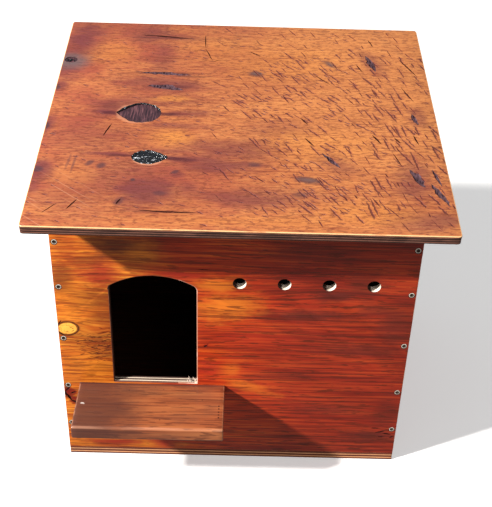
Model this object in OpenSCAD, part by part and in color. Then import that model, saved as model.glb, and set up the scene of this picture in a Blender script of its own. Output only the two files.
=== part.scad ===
// Plywood nest box with an arched doorway, a landing shelf, vent holes and a
// sloping roof that lifts on two butt hinges. Millimetres, +Z up.
// Origin: centre of the floor's underside. The doorway faces -Y.

/* [Box] */
// Outside width of the box
box_w = 450; // [430:5:480]
// Outside depth of the box, front face to back face
box_d = 370; // [340:5:400]
// Height of the front wall at its outer face
front_h = 409; // [395:1:430]
// Thickness of the plywood in every panel
ply_t = 12; // [12:0.5:15]

/* [Roof] */
// Width of the roof panel
roof_w = 500; // [490:5:540]
// Slope of the roof, rising towards the back, in degrees
roof_slope = 7.9; // [5:0.1:10]
// Roof beyond the front wall, along the slope
roof_front = 55; // [30:1:70]
// Roof beyond the back wall, along the slope
roof_back = 26; // [26:1:40]
// Sideways offset of the roof from the middle of the box
roof_shift = 4.5; // [0:0.5:5]

/* [Doorway] */
// Width of the doorway
door_w = 109; // [95:1:115]
// Middle of the doorway, left of the box's middle
door_x = -102.5; // [-110:0.5:-95]
// Height of the sill above the ground
sill_z = 134.5; // [134:0.5:145]
// Height of the arch's crown above the ground
crown_z = 308; // [290:1:320]
// Rise of the arch above the side walls of the doorway
arch_rise = 17; // [12:1:25]
// Rounding of the arch's left shoulder
left_shoulder_r = 3; // [1:0.5:12]
// Rounding of the arch's right shoulder
right_shoulder_r = 9; // [1:0.5:12]

/* [Vents] */
// Diameter of a vent hole
vent_d = 16; // [12:0.5:20]
// Number of vent holes
vent_count = 4; // [1:1:4]
// Middle of the first vent hole
vent_x = 5; // [0:1:10]
// Distance between vent holes
vent_pitch = 55.4; // [40:0.2:60]
// Height of the vent holes
vent_z = 300; // [280:1:320]

/* [Landing shelf] */
// Width of the landing shelf
shelf_w = 192; // [170:1:200]
// Middle of the landing shelf
shelf_x = -107; // [-115:0.5:-105]
// Depth of the shelf in front of the wall
shelf_d = 84; // [60:1:100]
// Thickness of the shelf
shelf_t = 20; // [18:0.5:24]
// Height of the shelf's top
shelf_z = 131.5; // [125:0.5:131.5]
// Rounding of the shelf's upper front edge
nose_top_r = 6; // [2:0.5:10]
// Rounding of the shelf's lower front edge
nose_low_r = 3; // [1:0.5:6]

/* [Screws] */
// Diameter of a panel screw's shank
screw_d = 3.5; // [3:0.1:4]
// Length of a panel screw
screw_l = 35; // [30:1:40]
// Diameter of a hinge screw's shank
hinge_screw_d = 2.8; // [2.4:0.1:3]
// Length of a hinge screw
hinge_screw_l = 10; // [8:0.5:11]

/* [Hinges] */
// Length of a hinge along its pin
hinge_l = 60; // [50:1:70]
// Width of one leaf from the pin's axis
leaf_w = 22; // [20:0.5:22]
// Thickness of a leaf
leaf_t = 1.2; // [1:0.1:1.5]
// Middle of each hinge, left and right of the box's middle
hinge_x = 140; // [100:5:170]

/* [Hidden] */
$fn = 64;
front_y = -box_d / 2;
back_y = box_d / 2;
in_x = box_w / 2 - ply_t;
edge_x = box_w / 2 - ply_t / 2;
lid_gap = 0.2;      // between the wall tops and the closed roof
wood_gap = 0.05;    // around a screw in its hole
big = 1000;         // longer than the box in every direction

// Lens-shaped openings in the roof's face veneer: [x, distance up the slope, length, width]
veneer_t = 1.5;
large_lens = [-129, 170, 58, 42];
small_lens = [-107, 77, 46, 26];
filler_drop = 0.4;  // how far the filler sits below the roof's face

// Screws: a head is twice as wide as its shank, the rest is in shares of the shank's diameter
head_sink = 0.3;    // how far a head sits below the face
head_rim = 0.3;     // straight rim above the countersunk cone
cone_share = 0.45;
recess_w_share = 0.26;
recess_l_share = 1.15;
recess_h_share = 0.42;
tip_share = 0.25;   // share of the shank's length that tapers to the point
point_clear = 0.5;  // hole left below a screw's point
mouth = 5;          // how far a screw hole's mouth is cut above the head
wall_screw_z = [58, 126, 206, 288, 355];
back_top_z = 425;
floor_screw_y = [-125, 0, 125];
floor_screw_x = [-130, 0, 130];
shelf_screw_x = [-78, 0, 78];

// Hinges: the pin's axis is pin_off from the back wall and from the roof's underside
pin_off = 2.5;
knuckle_r = 2.4;
knuckle_count = 5;
knuckle_gap = 0.15; // at each end of a knuckle
knuckle_l = hinge_l / knuckle_count;
plate_start = 2.8;  // a leaf's flat plate clears the other leaf's knuckles
seat_gap = 0.05;    // between a leaf and the wood under it
leaf_screw_x = [-20, 0, 20];
leaf_screw_r = [11, 16, 11];    // distance of each screw from the pin's axis
pin_r = 1.25;
pin_gap = 0.05;     // running clearance around the pin
pin_end = 0.1;      // between a pin's head and the leaves
pin_head_r = 1.9;
pin_head_l = 0.8;

function roof_under(y) = front_h + lid_gap + (y - front_y) * tan(roof_slope);
function arc(cx, cy, r, a0, a1, steps) =
    [for (i = [0:steps]) let (a = a0 + (a1 - a0) * i / steps) [cx + r * cos(a), cy + r * sin(a)]];

pin_y = back_y + pin_off;
pin_z = roof_under(pin_y) - pin_off / cos(roof_slope);

// ---------- Fasteners ----------

// A countersunk cross-head screw. Its head's face is at z = 0 and it points down -Z.
module screw(d, l) {
    cone_h = cone_share * d;
    shank_l = l * (1 - tip_share);
    recess = [recess_l_share * d, recess_w_share * d, 2 * recess_h_share * d];
    color("silver") difference() {
        union() {
            translate([0, 0, -head_rim]) cylinder(r = d, h = head_rim);
            translate([0, 0, -head_rim - cone_h]) cylinder(r1 = d / 2, r2 = d, h = cone_h);
            translate([0, 0, -shank_l]) cylinder(r = d / 2, h = shank_l - cone_h);
            translate([0, 0, -l]) cylinder(r1 = d / 10, r2 = d / 2, h = l * tip_share);
        }
        for (turn = [0, 90])
            rotate(turn) cube(recess, center = true);
    }
}

// The hole that a screw sits in, with the head's countersink and its sink below the face.
module screw_hole(d, l) {
    cone_h = cone_share * d;
    head_r = d + wood_gap;
    hole_r = d / 2 + wood_gap;
    translate([0, 0, -head_rim]) cylinder(r = head_r, h = mouth);
    translate([0, 0, -head_rim - cone_h]) cylinder(r1 = hole_r, r2 = head_r, h = cone_h);
    translate([0, 0, -l - point_clear]) cylinder(r = hole_r, h = l);
}

// Panel screws on one upright edge of the front wall (side = -1 left, 1 right)
module at_front_screws(side)
    for (z = wall_screw_z)
        translate([side * edge_x, front_y + head_sink, z]) rotate([90, 0, 0]) children();

module at_back_screws(side)
    for (z = concat(wall_screw_z, [back_top_z]))
        translate([side * edge_x, back_y - head_sink, z]) rotate([-90, 0, 0]) children();

module at_floor_screws() {
    for (side = [-1, 1], y = floor_screw_y)
        translate([side * edge_x, y, head_sink]) rotate([180, 0, 0]) children();
    for (y = [front_y + ply_t / 2, back_y - ply_t / 2], x = floor_screw_x)
        translate([x, y, head_sink]) rotate([180, 0, 0]) children();
}

module at_shelf_screws()
    for (x = shelf_screw_x)
        translate([shelf_x + x, front_y + ply_t - head_sink, shelf_z - shelf_t / 2]) rotate([-90, 0, 0]) children();

// ---------- Panels ----------

// Everything above the wall tops, sloped like the roof
module above_walls()
    translate([0, front_y, front_h]) rotate([roof_slope, 0, 0])
        translate([-big / 2, -big / 2, 0]) cube([big, 2 * big, big]);

module upright(x, y, w, d)
    difference() {
        translate([x, y, ply_t]) cube([w, d, big / 2]);
        above_walls();
    }

// Doorway outline in the wall's plane: square sill, upright sides and an arch whose
// shoulders are rounded, tightly on the left and more on the right
module doorway_outline() {
    half = door_w / 2;
    arch_r = (half * half + arch_rise * arch_rise) / (2 * arch_rise);
    arch_z = crown_z - arch_r;
    function shoulder_h(r) = sqrt(pow(arch_r - r, 2) - pow(half - r, 2));
    left_h = shoulder_h(left_shoulder_r);
    right_h = shoulder_h(right_shoulder_r);
    left_a = 180 - atan2(left_h, half - left_shoulder_r);
    right_a = atan2(right_h, half - right_shoulder_r);
    translate([door_x, 0]) polygon(concat(
        [[-half, sill_z], [half, sill_z]],
        arc(half - right_shoulder_r, arch_z + right_h, right_shoulder_r, 0, right_a, 8),
        arc(0, arch_z, arch_r, right_a, left_a, 32),
        arc(left_shoulder_r - half, arch_z + left_h, left_shoulder_r, left_a, 180, 6)
    ));
}

module front_panel()
    color("sienna") difference() {
        upright(-box_w / 2, front_y, box_w, ply_t);
        translate([0, front_y + ply_t + 1, 0]) rotate([90, 0, 0])
            linear_extrude(ply_t + 2) doorway_outline();
        for (i = [0:vent_count - 1])
            translate([vent_x + i * vent_pitch, front_y - 1, vent_z]) rotate([-90, 0, 0])
                cylinder(d = vent_d, h = ply_t + 2);
        at_front_screws(-1) screw_hole(screw_d, screw_l);
        at_front_screws(1) screw_hole(screw_d, screw_l);
        at_floor_screws() screw_hole(screw_d, screw_l);
        at_shelf_screws() screw_hole(screw_d, screw_l);
    }

module side_panel(side)
    color("peru") difference() {
        upright(side > 0 ? in_x : -box_w / 2, front_y + ply_t, ply_t, box_d - 2 * ply_t);
        at_front_screws(side) screw_hole(screw_d, screw_l);
        at_back_screws(side) screw_hole(screw_d, screw_l);
        at_floor_screws() screw_hole(screw_d, screw_l);
    }

module back_panel()
    color("peru") difference() {
        upright(-box_w / 2, back_y - ply_t, box_w, ply_t);
        at_back_screws(-1) screw_hole(screw_d, screw_l);
        at_back_screws(1) screw_hole(screw_d, screw_l);
        at_floor_screws() screw_hole(screw_d, screw_l);
        at_wall_leaf_screws() screw_hole(hinge_screw_d, hinge_screw_l);
    }

module floor_panel()
    color("sandybrown") difference() {
        translate([-box_w / 2, front_y, 0]) cube([box_w, box_d, ply_t]);
        at_floor_screws() screw_hole(screw_d, screw_l);
    }

// Shelf section in the Y-Z plane: rounded front edges, square back edge against the wall
module shelf_section()
    polygon(concat(
        [[0, 0], [0, -shelf_t]],
        arc(nose_low_r - shelf_d, nose_low_r - shelf_t, nose_low_r, 270, 180, 6),
        arc(nose_top_r - shelf_d, -nose_top_r, nose_top_r, 180, 90, 10)
    ));

module landing_shelf()
    color("saddlebrown") difference() {
        translate([shelf_x - shelf_w / 2, front_y, shelf_z]) rotate([90, 0, 90])
            linear_extrude(shelf_w) shelf_section();
        at_shelf_screws() screw_hole(screw_d, screw_l);
    }

// ---------- Roof ----------

// Roof frame: origin on the roof's underside above the front wall's face, +Y up the slope
module on_roof()
    translate([0, front_y, front_h + lid_gap]) rotate([roof_slope, 0, 0]) children();

module lens(place, depth) {
    half = place[2] / 2;
    bulge = place[3] / 2;
    r = (half * half + bulge * bulge) / (2 * bulge);
    translate([place[0], place[1], ply_t - depth])
        linear_extrude(depth + 1) intersection() {
            translate([0, r - bulge]) circle(r = r);
            translate([0, bulge - r]) circle(r = r);
        }
}

module roof_panel() {
    run = box_d / cos(roof_slope) + roof_front + roof_back;
    color("chocolate") difference() {
        on_roof() difference() {
            translate([roof_shift - roof_w / 2, -roof_front, 0]) cube([roof_w, run, ply_t]);
            lens(large_lens, veneer_t);
            lens(small_lens, veneer_t);
        }
        at_roof_leaf_screws() screw_hole(hinge_screw_d, hinge_screw_l);
    }
}

// Dark resin that fills the smaller opening to just below the roof's face
module roof_knot_filler()
    color("black") on_roof() intersection() {
        lens(small_lens, veneer_t);
        translate([-big / 2, -big / 2, 0]) cube([big, big, ply_t - filler_drop]);
    }

// ---------- Hinges ----------

// Frames on the hinges' axis: X along the pin, +Y along the leaf, +Z away from the wood
module at_wall_leaf()
    translate([0, pin_y, pin_z]) rotate([-90, 0, 0]) children();

module at_roof_leaf()
    translate([0, pin_y, pin_z]) rotate([roof_slope, 0, 0]) mirror([0, 0, 1]) children();

// One leaf in its pin frame, where the wood lies below z = -pin_off. first numbers its first knuckle.
module leaf(first) {
    seat_z = seat_gap - pin_off;
    solid_l = knuckle_l - 2 * knuckle_gap;
    color("gainsboro") difference() {
        union() {
            translate([-hinge_l / 2, plate_start, seat_z]) cube([hinge_l, leaf_w - plate_start, leaf_t]);
            for (k = [first:2:knuckle_count - 1])
                translate([-hinge_l / 2 + k * knuckle_l + knuckle_gap, 0, 0]) {
                    rotate([0, 90, 0]) cylinder(r = knuckle_r, h = solid_l);
                    translate([0, 0, seat_z]) cube([solid_l, plate_start + leaf_t, leaf_t]);
                }
        }
        translate([-hinge_l, 0, 0]) rotate([0, 90, 0]) cylinder(r = pin_r + pin_gap, h = 2 * hinge_l);
        at_leaf_screws() screw_hole(hinge_screw_d, hinge_screw_l);
    }
}

module at_leaf_screws()
    for (i = [0:len(leaf_screw_x) - 1])
        translate([leaf_screw_x[i], leaf_screw_r[i], seat_gap - pin_off + leaf_t]) children();

module at_wall_leaf_screws()
    for (side = [-1, 1])
        translate([side * hinge_x, 0, 0]) at_wall_leaf() at_leaf_screws() children();

module at_roof_leaf_screws()
    for (side = [-1, 1])
        translate([side * hinge_x, 0, 0]) at_roof_leaf() at_leaf_screws() children();

module wall_leaf(side)
    translate([side * hinge_x, 0, 0]) at_wall_leaf() leaf(0);

module roof_leaf(side)
    translate([side * hinge_x, 0, 0]) at_roof_leaf() leaf(1);

// Pin with a round head at each end, outside the end knuckles
module hinge_pin(side)
    color("silver") translate([side * hinge_x, pin_y, pin_z]) rotate([0, 90, 0]) {
        cylinder(r = pin_r, h = hinge_l + 2 * pin_end, center = true);
        for (z = [-1, 1] * (hinge_l / 2 + pin_end + pin_head_l / 2))
            translate([0, 0, z]) cylinder(r = pin_head_r, h = pin_head_l, center = true);
    }

floor_panel();
front_panel();
side_panel(-1);  // left_side_panel
side_panel(1);  // right_side_panel
back_panel();
landing_shelf();
roof_panel();
roof_knot_filler();
at_front_screws(-1) screw(screw_d, screw_l);  // front_left_screws
at_front_screws(1) screw(screw_d, screw_l);  // front_right_screws
at_back_screws(-1) screw(screw_d, screw_l);  // back_left_screws
at_back_screws(1) screw(screw_d, screw_l);  // back_right_screws
at_floor_screws() screw(screw_d, screw_l);  // floor_screws
at_shelf_screws() screw(screw_d, screw_l);  // shelf_screws
wall_leaf(-1);  // left_hinge_wall_leaf
roof_leaf(-1);  // left_hinge_roof_leaf
hinge_pin(-1);  // left_hinge_pin
wall_leaf(1);  // right_hinge_wall_leaf
roof_leaf(1);  // right_hinge_roof_leaf
hinge_pin(1);  // right_hinge_pin
at_wall_leaf_screws() screw(hinge_screw_d, hinge_screw_l);  // hinge_wall_screws
at_roof_leaf_screws() screw(hinge_screw_d, hinge_screw_l);  // hinge_roof_screws
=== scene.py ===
import math
import random

import bmesh
import bpy
from mathutils import Matrix, Vector, noise


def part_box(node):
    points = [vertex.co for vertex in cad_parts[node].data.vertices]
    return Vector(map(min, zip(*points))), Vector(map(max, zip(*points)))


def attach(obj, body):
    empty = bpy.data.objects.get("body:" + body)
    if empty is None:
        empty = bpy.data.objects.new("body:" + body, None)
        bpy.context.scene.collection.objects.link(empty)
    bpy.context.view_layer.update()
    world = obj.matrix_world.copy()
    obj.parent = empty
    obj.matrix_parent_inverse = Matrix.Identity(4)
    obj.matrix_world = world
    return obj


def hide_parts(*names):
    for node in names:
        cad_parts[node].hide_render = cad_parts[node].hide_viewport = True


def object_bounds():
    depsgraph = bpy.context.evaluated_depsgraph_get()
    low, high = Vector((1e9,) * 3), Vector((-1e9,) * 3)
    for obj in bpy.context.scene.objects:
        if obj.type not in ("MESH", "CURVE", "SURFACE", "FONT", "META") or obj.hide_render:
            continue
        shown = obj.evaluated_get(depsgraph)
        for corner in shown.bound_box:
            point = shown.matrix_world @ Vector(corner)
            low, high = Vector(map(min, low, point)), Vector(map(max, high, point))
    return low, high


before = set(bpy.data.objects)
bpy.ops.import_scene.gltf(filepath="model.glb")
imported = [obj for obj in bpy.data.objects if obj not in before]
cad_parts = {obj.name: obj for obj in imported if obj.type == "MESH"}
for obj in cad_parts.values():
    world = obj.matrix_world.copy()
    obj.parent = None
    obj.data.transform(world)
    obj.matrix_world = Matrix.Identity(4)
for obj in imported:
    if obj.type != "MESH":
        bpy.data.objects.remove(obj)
cad_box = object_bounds()

# Lengths are millimetres and angles degrees, unless a name says otherwise; MM turns a length into Blender's
# metres. Each piece's own x runs along the grain and its z out of its face.
MM = 0.001
PLY_T = 12.0
PLIES = 7
WELD, ON_FACE, AT_END = 1e-6, 2e-5, 1e-5  # metres
FLAT = 1e6  # a pattern this thick is the same all the way through
FRESH = 37.7  # how far a material's patterns lie apart, so that none repeats another
ARRIS_BANDS = 3  # between the rows of a sheet's rounded edge
X, Y, Z = Vector((1, 0, 0)), Vector((0, 1, 0)), Vector((0, 0, 1))
random.seed(11)


# ---------------------------------------------------------------- geometry

def facing(grain, across, at):
    """The placement whose local x is the grain, y runs across it and z is the face's outward normal."""
    x, y = grain.normalized(), across.normalized()
    return Matrix.Translation(at) @ Matrix((x, y, x.cross(y))).transposed().to_4x4()


def largest_normal(node):
    """The normal of a CAD node's largest upward flat face."""
    sums = {}
    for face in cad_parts[node].data.polygons:
        if face.normal.z > 0.1:
            key = tuple(round(c, 3) for c in face.normal)
            total, normal = sums.get(key, (0.0, face.normal.copy()))
            sums[key] = (total + face.area, normal)
    return max(sums.values(), key=lambda pair: pair[0])[1]


def cad_mesh(node):
    """A copy of a CAD node's mesh, its vertices welded."""
    mesh = bmesh.new()
    mesh.from_mesh(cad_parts[node].data)
    bmesh.ops.remove_doubles(mesh, verts=mesh.verts, dist=WELD)
    return mesh


def face_loops(node, place):
    """Outlines of a CAD node's flat face at a placement's local z = 0, longest first, as lists of (x, y)."""
    mesh = cad_mesh(node)
    bmesh.ops.transform(mesh, matrix=place.inverted(), verts=mesh.verts)
    flat = [f for f in mesh.faces if all(abs(v.co.z) < ON_FACE for v in f.verts)]
    ahead = {}
    for face in flat:
        for corner in face.loops:
            if not any(f in flat for f in corner.edge.link_faces if f is not face):
                ahead[corner.vert] = corner.link_loop_next.vert
    loops = []
    while ahead:
        start = min(ahead, key=lambda vert: tuple(vert.co))
        here = ahead.pop(start)
        loop = [start]
        while here is not start:
            loop.append(here)
            here = ahead.pop(here)
        loops.append([(v.co.x / MM, v.co.y / MM) for v in loop])
    mesh.free()
    return sorted(loops, key=loop_length, reverse=True)


def loop_length(loop):
    return sum(math.dist(a, b) for a, b in zip(loop, loop[1:] + loop[:1]))


def loop_area(loop):
    return sum(a[0] * b[1] - b[0] * a[1] for a, b in zip(loop, loop[1:] + loop[:1])) / 2


def eased(loop, radius, step, soft_above=math.inf):
    """A loop, made counter-clockwise, with its sharp corners rounded and its long sides divided.
    Corners above y = soft_above are rounded six times as much."""
    points = [Vector(point) for point in (loop if loop_area(loop) > 0 else loop[::-1])]
    nearly_straight = 0.4  # radians
    corners = []
    for i, point in enumerate(points):
        before = points[i - 1] - point
        after = points[(i + 1) % len(points)] - point
        turn = math.pi - before.angle(after)
        if turn < nearly_straight:
            corners.append([point])
            continue
        cut = radius * (6 if point.y > soft_above else 1) * math.tan(turn / 2)
        start = point + before.normalized() * cut
        end = point + after.normalized() * cut
        corners.append([start.lerp(point, t).lerp(point.lerp(end, t), t) for t in (0, 0.25, 0.5, 0.75, 1)])
    outline = []
    for bow, following in zip(corners, corners[1:] + corners[:1]):
        parts = max(1, round((following[0] - bow[-1]).length / step))
        outline += bow + [bow[-1].lerp(following[0], k / parts) for k in range(1, parts)]
    return outline


def ply_rows(ease, bite, rng):
    """Edge profile of a sheet from its back, at -PLY_T, to its face, at 0: (height, material lost, ply)."""
    quarter = [math.radians(angle) for angle in (0, 30, 60, 90)]
    rounding = [(ease * (1 - math.cos(a)), ease * (1 - math.sin(a))) for a in quarter]
    lost = [rng.uniform(0, bite) for _ in range(PLIES)]
    lost[0] = lost[-1] = 0.0
    half_line = 0.12
    rows = [(rise - PLY_T, loss, 0) for rise, loss in rounding]
    for k in range(1, PLIES):
        glue = PLY_T * (k / PLIES - 1)
        rows.append((glue - half_line, lost[k - 1], k - 1))
        rows.append((glue, max(lost[k - 1], lost[k]) + bite * 0.6, k))
        rows.append((glue + half_line, lost[k], k))
    return rows + [(-rise, loss, PLIES - 1) for rise, loss in reversed(rounding)]


def skin(mesh, rings, slot=0):
    """Closes a stack of rings of points into a solid in mesh. A ring turns counter-clockwise as seen from
    the last one. Gives the side faces ring by ring, then the first and the last face."""
    rings = [[mesh.verts.new([c * MM for c in point]) for point in ring] for ring in rings]
    faces = []
    for low, high in zip(rings, rings[1:]):
        for i in range(len(low)):
            j = (i + 1) % len(low)
            faces.append(mesh.faces.new((low[i], low[j], high[j], high[i])))
    faces += [mesh.faces.new(rings[0][::-1]), mesh.faces.new(rings[-1])]
    for face in faces:
        face.material_index = slot
    return faces


def slab(mesh, outline, rows, grow, rough, seed):
    """Adds a closed prism on an outline to mesh and gives its faces as skin does. Each row of its edge is a
    ply that stands in or out by its own wobble. grow is -1 for a sheet and 1 for a cutter, which cuts more."""
    rings = []
    for height, lost, ply in rows:
        ring = []
        for i, point in enumerate(outline):
            along = (outline[(i + 1) % len(outline)] - outline[i - 1]).normalized()
            spot = Vector((point.x / 14, point.y / 14, ply * 3.7 + seed))
            chip = max(0.0, noise.noise(spot * 0.8 + Vector((9, 4, 2))) - 0.42) * 6
            wobble = rough * (abs(noise.noise(spot * 3)) + chip)
            ring.append((*(point + Vector((along.y, -along.x)) * grow * (lost + wobble)), height))
        rings.append(ring)
    return skin(mesh, rings)


def circle(radius, z, sides, x=0.0, y=0.0):
    angles = (math.tau * k / sides for k in range(sides))
    return [(x + radius * math.cos(a), y + radius * math.sin(a), z) for a in angles]


def add_cone(mesh, x, y, steps):
    """Adds a round cutter to mesh: steps are (height, radius) from the bottom up."""
    skin(mesh, [circle(radius, z, 28, x, y) for z, radius in steps])


def add_sliver(mesh, x, y, long, turn, wide, deep, slot, rng, bow=0.0, floor_share=0.35):
    """Adds a sliver-shaped cutter to mesh, pointed at both ends and deepest near its middle.
    floor_share is how much of its width its floor takes."""
    stations = max(4, round(long / 3))
    turned = Matrix.Rotation(math.radians(turn), 2)
    start = rng.uniform(0, 100)
    rings = []
    for k in range(stations + 1):
        t = k / stations
        swell = math.sin(math.pi * t) ** 0.8
        jitter, shift = (noise.noise(Vector((k * 0.6, start, row))) for row in (0.0, 9.0))
        half = max(0.04, wide / 2 * swell * (0.95 + 0.35 * jitter))
        sink = max(0.05, deep * swell * (0.95 + 0.2 * shift))
        middle = bow * math.sin(math.pi * t) + 0.25 * shift * wide
        section = ((1.15, 0.4), (1.0, 0.0), (floor_share, -sink))
        section += tuple((-share, height) for share, height in reversed(section))
        ring = []
        for share, height in section:
            flat = turned @ Vector((long * (t - 0.5), middle + half * share))
            ring.append((x + flat.x, y + flat.y, height))
        rings.append(ring)
    skin(mesh, rings, slot)


def new_object(name, mesh, materials, place=None):
    """Turns a bmesh into an object of the scene."""
    data = bpy.data.meshes.new(name)
    mesh.normal_update()
    mesh.to_mesh(data)
    mesh.free()
    for material in materials:
        data.materials.append(material)
    piece = bpy.data.objects.new(name, data)
    if place is not None:
        piece.matrix_world = place
    bpy.context.scene.collection.objects.link(piece)
    return piece


def dress(piece, node, body="box"):
    """Puts a piece in a CAD node's stead, on its body."""
    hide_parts(node)
    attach(piece, body)


def carve(piece, cutter_mesh, materials, crossing=False):
    """Cuts a closed cutter out of a piece; the new faces keep the cutter's materials.
    crossing is for a cutter whose own parts cross each other."""
    bmesh.ops.recalc_face_normals(cutter_mesh, faces=cutter_mesh.faces)
    cutter = new_object(piece.name + "_cutter", cutter_mesh, materials, piece.matrix_world.copy())
    change = piece.modifiers.new("carve", "BOOLEAN")
    change.operation = "DIFFERENCE"
    change.solver = "EXACT"
    change.material_mode = "TRANSFER"
    change.use_self = crossing
    change.object = cutter
    bake(piece)
    bpy.data.objects.remove(cutter)


def bake(piece):
    """Applies a piece's modifiers to its mesh."""
    bpy.context.view_layer.update()
    done = bpy.data.meshes.new_from_object(piece.evaluated_get(bpy.context.evaluated_depsgraph_get()))
    piece.modifiers.clear()
    old, name = piece.data, piece.data.name
    piece.data = done
    bpy.data.meshes.remove(old)
    done.name = name


def smooth_over(piece, degrees):
    """Smooth shading, with edges sharper than an angle left crisp."""
    mesh = bmesh.new()
    mesh.from_mesh(piece.data)
    for face in mesh.faces:
        face.smooth = True
    for edge in mesh.edges:
        edge.smooth = len(edge.link_faces) == 2 and edge.calc_face_angle(0) < math.radians(degrees)
    mesh.to_mesh(piece.data)
    mesh.free()


# ---------------------------------------------------------------- shader nodes

class Value:
    """A shader node's output, which can be used in sums as a number can."""

    def __init__(self, shade, socket):
        self.calc, self.socket = shade.calc, socket

    def __add__(self, other):
        return self.calc("ADD", self, other)

    def __sub__(self, other):
        return self.calc("SUBTRACT", self, other)

    def __rsub__(self, other):
        return self.calc("SUBTRACT", other, self)

    def __mul__(self, other):
        return self.calc("MULTIPLY", self, other)

    def __truediv__(self, other):
        return self.calc("DIVIDE", self, other)

    def __abs__(self):
        return self.calc("ABSOLUTE", self)


class Shade:
    """One procedural material. Its coordinates are the piece's own, in millimetres: x is along the grain."""

    def __init__(self, name):
        self.material = bpy.data.materials.new(name)
        self.material.use_nodes = True
        self.tree = self.material.node_tree
        self.tree.nodes.clear()
        self.drift = random.uniform(0, 900)
        self.raggedness = {}
        own = self.get("ShaderNodeTexCoord", output="Object")
        self.p = self.get("ShaderNodeVectorMath", {0: own, "Scale": 1 / MM}, operation="SCALE")

    def add(self, kind, inputs=(), **settings):
        """A new node; inputs pairs its sockets' names or numbers with plain values or Values."""
        node = self.tree.nodes.new(kind)
        for key, value in settings.items():
            setattr(node, key, value)
        for key, value in dict(inputs).items():
            socket = node.inputs[key]
            if isinstance(value, Value):
                self.tree.links.new(value.socket, socket)
            elif value is not None:
                socket.default_value = (*value, 1.0) if socket.type == "RGBA" else value
        return node

    def get(self, kind, inputs=(), output=0, **settings):
        return Value(self, self.add(kind, inputs, **settings).outputs[output])

    def calc(self, operation, *terms, clamp=False):
        return self.get("ShaderNodeMath", enumerate(terms), operation=operation, use_clamp=clamp)

    def vector(self, operation, *terms):
        output = "Value" if operation in ("LENGTH", "DOT_PRODUCT") else 0
        return self.get("ShaderNodeVectorMath", enumerate(terms), output, operation=operation)

    def split(self, vector):
        return [Value(self, socket) for socket in self.add("ShaderNodeSeparateXYZ", {0: vector}).outputs]

    def join(self, *parts):
        return self.get("ShaderNodeCombineXYZ", enumerate(parts))

    def local(self, vector, at, turn, size):
        """A vector as measured from a place, on axes turned by an angle, in units of size."""
        rotation = (0, 0, math.radians(turn))
        inputs = {"Vector": vector, "Location": at, "Rotation": rotation, "Scale": size}
        return self.get("ShaderNodeMapping", inputs, vector_type="TEXTURE")

    def place(self, at, size, turn=0.0):
        """Coordinates at, or the face's own, moved to a fresh spot for a pattern of size = (x, y, z)."""
        self.drift += FRESH
        return self.local(at or self.p, (self.drift, self.drift * 0.7, self.drift * 0.3), turn, size)

    def noise(self, size, detail=4.0, rough=0.5, warp=0.0, at=None, turn=0.0):
        """Noise whose features are size = (x, y, z), from 0 to 1."""
        inputs = {"Vector": self.place(at, size, turn), "Scale": 1.0, "Detail": detail, "Roughness": rough,
                  "Distortion": warp}
        return self.get("ShaderNodeTexNoise", inputs)

    def strokes(self, cell, long, wide, turn, share):
        """Separate short strokes, long x wide, at an angle, at most one to each cell of (along, across).
        share is the part of the cells that has one. Gives the strokes and a soft halo around each, 0 to 1."""
        spot = self.place(None, (*cell, 1.0), turn)
        cells = self.add("ShaderNodeTexVoronoi", {"Vector": spot, "Scale": 1.0}, voronoi_dimensions="2D")
        middle, lot = (Value(self, cells.outputs[name]) for name in ("Position", "Color"))
        along, across, _ = self.split(self.vector("SUBTRACT", spot, middle))
        keep, size, lean = self.split(lot)
        across = (lean - 0.5) * (along * (cell[0] / cell[1] * 0.5)) + across
        across = (self.noise((5, 5, 5), 2) - 0.5) * (wide / cell[1] * 1.6) + across
        size = size * 0.6 + 0.4
        kept = self.fade(keep, share, share - 0.02)
        masks = []
        for longer, wider, low, high in ((1.0, 1.0, 1.3, 0.6), (1.5, 3.6, 1.2, 0.0)):
            x = along * (2 * cell[0] / (long * longer))
            y = across * (2 * cell[1] / (wide * wider))
            reach = self.vector("LENGTH", self.join(x, y, 0.0)) / size
            masks.append(self.fade(reach, low, high) * kept)
        return masks

    def fade(self, value, low, high, to_low=0.0, to_high=1.0):
        """A smooth step from low to high."""
        limits = enumerate((value, low, high, to_low, to_high))
        return self.get("ShaderNodeMapRange", limits, interpolation_type="SMOOTHSTEP")

    def mix(self, share, a, b):
        """Colour a with a share of colour b."""
        return self.get("ShaderNodeMix", {0: share, 6: a, 7: b}, 2, data_type="RGBA")

    def ramp(self, value, *stops):
        """A colour ramp through (position, colour) stops."""
        node = self.add("ShaderNodeValToRGB", {0: value})
        marks = node.color_ramp.elements
        for _ in stops[2:]:
            marks.new(0.5)
        for mark, (position, colour) in zip(marks, stops):
            mark.position = position
            mark.color = (*colour, 1.0)
        return Value(self, node.outputs[0])

    def blob(self, x, y, rx, ry, turn=0.0, soft=0.35, ragged=0.5, grain=8.0):
        """A ragged ellipse on the face, 1 inside and 0 outside."""
        if turn:
            place = self.local(self.p, (x, y, 0), turn, (rx, ry, FLAT))
        else:
            place = self.vector("DIVIDE", self.vector("SUBTRACT", self.p, (x, y, 0)), (rx, ry, FLAT))
        reach = self.vector("LENGTH", place)
        if grain not in self.raggedness:
            self.raggedness[grain] = self.noise((grain * 1.7, grain * 0.8, grain), 4, 0.6) - 0.5
        return self.fade(self.raggedness[grain] * (ragged * 2) + reach, 1 + soft, 1 - soft)

    def tint(self, base, spots, colour, soft, ragged, grain):
        """Stains base with a colour at spots: (x, y, half length, half width, strength), maybe an angle."""
        stained = None
        for x, y, rx, ry, strength, *turn in spots:
            mask = self.blob(x, y, rx, ry, *(turn or [0.0]), soft, ragged, grain) * strength
            stained = self.most(stained, mask) if stained else mask
        return self.mix(stained, base, colour)

    def most(self, *masks):
        result = masks[0]
        for mask in masks[1:]:
            result = self.calc("MAXIMUM", result, mask)
        return result

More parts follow.
